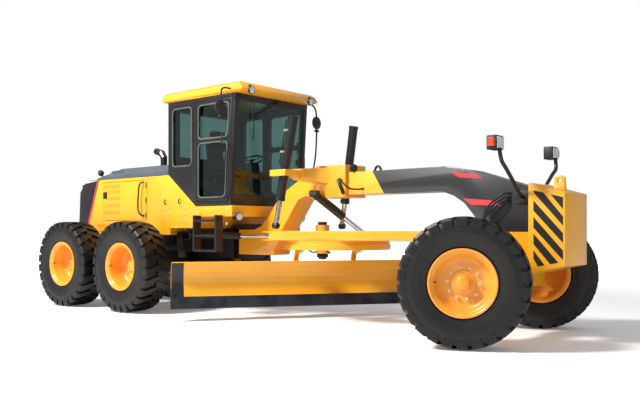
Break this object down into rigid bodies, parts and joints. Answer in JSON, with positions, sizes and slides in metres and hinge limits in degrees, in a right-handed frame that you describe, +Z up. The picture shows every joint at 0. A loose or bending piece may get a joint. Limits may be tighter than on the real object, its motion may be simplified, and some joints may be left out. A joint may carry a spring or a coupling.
{
  "type": "motor grader",
  "caption": "Articulated six-wheeled motor grader with cab, slewing blade under an A-frame drawbar, and front counterweight.",
  "frame": {"origin": "on the ground under the centre of the machine's box", "axes": "+X forward, +Y to the machine's left, +Z up"},
  "size_m": [8.73, 3.0994, 3.235],
  "materials": {
    "black_paint": "black enamel",
    "charcoal_paint": "charcoal enamel",
    "yellow_paint": "yellow enamel, semi-gloss",
    "slate_paint": "slate enamel",
    "tinted_glass": "tinted glass",
    "seat_vinyl": "seat vinyl and moulded console",
    "lamp_housing": "lamp housing",
    "rim_paint": "rim enamel",
    "tyre_rubber": "tyre rubber",
    "bare_steel": "bare steel",
    "chromed_rod": "chromed rod"
  },
  "bodies": {
    "chassis": {"rear_frame": "black_paint", "tandem_axle": "black_paint", "engine_block": "charcoal_paint", "hood_frame": "yellow_paint", "hood_top": "slate_paint", "radiator_housing": "black_paint", "cab_base": "yellow_paint", "cab_shell": "black_paint", "cab_roof": "yellow_paint", "windshield": "tinted_glass", "rear_window": "tinted_glass", "quarter_window_left": "tinted_glass", "quarter_window_right": "tinted_glass", "operator_station": "seat_vinyl", "mirror_left": "black_paint", "mirror_right": "black_paint"},
    "front": {"front_frame": "yellow_paint", "front_counterweight": "yellow_paint", "front_axle": "yellow_paint", "headlamp_left": "lamp_housing", "headlamp_right": "lamp_housing", "lift_saddle": "yellow_paint"},
    "wheel_middle_left": {"rim_middle_left": "rim_paint", "tyre_middle_left": "tyre_rubber"},
    "wheel_rear_left": {"rim_rear_left": "rim_paint", "tyre_rear_left": "tyre_rubber"},
    "steer_left": {"steering_knuckle_left": "yellow_paint"},
    "wheel_front_left": {"rim_front_left": "rim_paint", "tyre_front_left": "tyre_rubber"},
    "door_left": {"door_left": "black_paint", "door_glass_left": "tinted_glass"},
    "hatch_left": {"engine_hatch_left": "yellow_paint"},
    "wheel_middle_right": {"rim_middle_right": "rim_paint", "tyre_middle_right": "tyre_rubber"},
    "wheel_rear_right": {"rim_rear_right": "rim_paint", "tyre_rear_right": "tyre_rubber"},
    "steer_right": {"steering_knuckle_right": "yellow_paint"},
    "wheel_front_right": {"rim_front_right": "rim_paint", "tyre_front_right": "tyre_rubber"},
    "door_right": {"door_right": "black_paint", "door_glass_right": "tinted_glass"},
    "hatch_right": {"engine_hatch_right": "yellow_paint"},
    "swivel": {"drawbar_swivel": "bare_steel"},
    "drawbar": {"drawbar": "yellow_paint"},
    "circle": {"circle": "yellow_paint"},
    "tilt": {"blade_carrier": "black_paint"},
    "blade": {"mouldboard": "yellow_paint", "cutting_edge": "bare_steel"},
    "lift_yoke_left": {"lift_yoke_left": "yellow_paint"},
    "lift_barrel_left": {"lift_barrel_left": "black_paint"},
    "lift_rod_left": {"lift_rod_left": "chromed_rod"},
    "articulation_barrel_left": {"articulation_left_barrel": "black_paint"},
    "articulation_rod_left": {"articulation_left_rod": "chromed_rod"},
    "lift_yoke_right": {"lift_yoke_right": "yellow_paint"},
    "lift_barrel_right": {"lift_barrel_right": "black_paint"},
    "lift_rod_right": {"lift_rod_right": "chromed_rod"},
    "articulation_barrel_right": {"articulation_right_barrel": "black_paint"},
    "articulation_rod_right": {"articulation_right_rod": "chromed_rod"},
    "centre_shift_barrel": {"centre_shift_barrel": "black_paint"},
    "centre_shift_rod": {"centre_shift_rod": "chromed_rod"}
  },
  "joints": [
    {"name": "articulation", "type": "hinge", "parent": "chassis", "child": "front", "pos_m": [-0.501, 0, 1.04], "axis": [0, 0, 1], "range_deg": [-25, 25]},
    {"name": "spin_middle_left", "type": "hinge", "parent": "chassis", "child": "wheel_middle_left", "pos_m": [-1.981, 1.065, 0.675], "axis": [0, 1, 0], "continuous": true},
    {"name": "spin_rear_left", "type": "hinge", "parent": "chassis", "child": "wheel_rear_left", "pos_m": [-3.521, 1.065, 0.675], "axis": [0, 1, 0], "continuous": true},
    {"name": "steer_left", "type": "hinge", "parent": "front", "child": "steer_left", "pos_m": [3.549, 0.93, 0.675], "axis": [0, 0, 1], "range_deg": [-68.35, 21.65]},
    {"name": "spin_front_left", "type": "hinge", "parent": "steer_left", "child": "wheel_front_left", "pos_m": [3.49549, 1.05394, 0.675], "axis": [-0.3963, 0.9181, 0], "continuous": true},
    {"name": "door_left_swing", "type": "hinge", "parent": "chassis", "child": "door_left", "pos_m": [-0.881, 0.75, 2.3], "axis": [0, 0, 1], "range_deg": [0, 95]},
    {"name": "hatch_left_swing", "type": "hinge", "parent": "chassis", "child": "hatch_left", "pos_m": [-2.241, 0.58, 1.6], "axis": [0, 0, -1], "range_deg": [0, 100]},
    {"name": "spin_middle_right", "type": "hinge", "parent": "chassis", "child": "wheel_middle_right", "pos_m": [-1.981, -1.065, 0.675], "axis": [0, 1, 0], "continuous": true},
    {"name": "spin_rear_right", "type": "hinge", "parent": "chassis", "child": "wheel_rear_right", "pos_m": [-3.521, -1.065, 0.675], "axis": [0, 1, 0], "continuous": true},
    {"name": "steer_right", "type": "hinge", "parent": "front", "child": "steer_right", "pos_m": [3.549, -0.93, 0.675], "axis": [0, 0, 1], "range_deg": [-68.35, 21.65]},
    {"name": "spin_front_right", "type": "hinge", "parent": "steer_right", "child": "wheel_front_right", "pos_m": [3.60251, -1.05394, 0.675], "axis": [-0.3963, 0.9181, 0], "continuous": true},
    {"name": "door_right_swing", "type": "hinge", "parent": "chassis", "child": "door_right", "pos_m": [-0.881, -0.75, 2.3], "axis": [0, 0, -1], "range_deg": [0, 95]},
    {"name": "hatch_right_swing", "type": "hinge", "parent": "chassis", "child": "hatch_right", "pos_m": [-2.241, -0.58, 1.6], "axis": [0, 0, 1], "range_deg": [0, 100]},
    {"name": "drawbar_swing", "type": "hinge", "parent": "front", "child": "swivel", "pos_m": [3.149, 0, 1.14], "axis": [0, 0, 1], "range_deg": [-9, 9]},
    {"name": "drawbar_lift", "type": "hinge", "parent": "swivel", "child": "drawbar", "pos_m": [3.149, 0, 1.14], "axis": [0, 1, 0], "range_deg": [-14.9, 6.3]},
    {"name": "circle_turn", "type": "hinge", "parent": "drawbar", "child": "circle", "pos_m": [1.099, 0, 1.02], "axis": [0, 0, -1], "range_deg": [-80, 180]},
    {"name": "blade_tilt", "type": "hinge", "parent": "circle", "child": "tilt", "pos_m": [0.54743, 0.38909, 0.38], "axis": [0.5764, 0.8171, 0], "range_deg": [-5, 35]},
    {"name": "blade_shift", "type": "slide", "parent": "tilt", "child": "blade", "axis": [0.5764, 0.8171, 0], "range_m": [-0.28, 0.92]},
    {"name": "lift_yoke_left_rock", "type": "hinge", "parent": "front", "child": "lift_yoke_left", "pos_m": [0.759, 0.49, 1.95], "axis": [1, 0, 0], "range_deg": [-30, 30]},
    {"name": "lift_barrel_left_swing", "type": "hinge", "parent": "lift_yoke_left", "child": "lift_barrel_left", "pos_m": [0.759, 0.67, 1.95], "axis": [0, 1, 0], "range_deg": [-8, 4]},
    {"name": "lift_rod_left_slide", "type": "slide", "parent": "lift_barrel_left", "child": "lift_rod_left", "axis": [0.1806, -0.0434, 0.9826], "range_m": [-0.66, 0.28]},
    {"name": "articulation_barrel_left_swing", "type": "hinge", "parent": "chassis", "child": "articulation_barrel_left", "pos_m": [-1.251, 0.52, 1.13], "axis": [0, 0, 1], "range_deg": [-12, 12]},
    {"name": "articulation_rod_left_slide", "type": "slide", "parent": "articulation_barrel_left", "child": "articulation_rod_left", "axis": [0.9887, -0.15, 0], "range_m": [-0.18, 0.18]},
    {"name": "lift_yoke_right_rock", "type": "hinge", "parent": "front", "child": "lift_yoke_right", "pos_m": [0.759, -0.49, 1.95], "axis": [1, 0, 0], "range_deg": [-30, 30]},
    {"name": "lift_barrel_right_swing", "type": "hinge", "parent": "lift_yoke_right", "child": "lift_barrel_right", "pos_m": [0.759, -0.67, 1.95], "axis": [0, 1, 0], "range_deg": [-8, 4]},
    {"name": "lift_rod_right_slide", "type": "slide", "parent": "lift_barrel_right", "child": "lift_rod_right", "axis": [0.1806, 0.0434, 0.9826], "range_m": [-0.66, 0.28]},
    {"name": "articulation_barrel_right_swing", "type": "hinge", "parent": "chassis", "child": "articulation_barrel_right", "pos_m": [-1.251, -0.52, 1.13], "axis": [0, 0, 1], "range_deg": [-12, 12]},
    {"name": "articulation_rod_right_slide", "type": "slide", "parent": "articulation_barrel_right", "child": "articulation_rod_right", "axis": [0.9887, 0.15, 0], "range_m": [-0.18, 0.18]},
    {"name": "centre_shift_swing", "type": "hinge", "parent": "front", "child": "centre_shift_barrel", "pos_m": [1.109, -0.48, 1.68], "axis": [1, 0, 0], "range_deg": [-13, 13]},
    {"name": "centre_shift_slide", "type": "slide", "parent": "centre_shift_barrel", "child": "centre_shift_rod", "axis": [0.3057, 0.7643, -0.5678], "range_m": [-0.21, 0.21]}
  ],
  "couplings": [
    {"joint": "steer_right", "follows": "steer_left", "ratio": 1},
    {"joint": "lift_yoke_left_rock", "follows": "drawbar_swing", "ratio": -3.14},
    {"joint": "lift_barrel_left_swing", "follows": "drawbar_lift", "ratio": 0.47},
    {"joint": "lift_rod_left_slide", "follows": "drawbar_lift", "m_per_rad": 2.48},
    {"joint": "articulation_barrel_left_swing", "follows": "articulation", "ratio": 0.44},
    {"joint": "articulation_rod_left_slide", "follows": "articulation", "m_per_rad": -0.398},
    {"joint": "lift_yoke_right_rock", "follows": "drawbar_swing", "ratio": -3.14},
    {"joint": "lift_barrel_right_swing", "follows": "drawbar_lift", "ratio": 0.47},
    {"joint": "lift_rod_right_slide", "follows": "drawbar_lift", "m_per_rad": 2.48},
    {"joint": "articulation_barrel_right_swing", "follows": "articulation", "ratio": 0.44},
    {"joint": "articulation_rod_right_slide", "follows": "articulation", "m_per_rad": 0.398},
    {"joint": "centre_shift_swing", "follows": "drawbar_swing", "ratio": -1.2},
    {"joint": "centre_shift_slide", "follows": "drawbar_swing", "m_per_rad": -1.3}
  ]
}
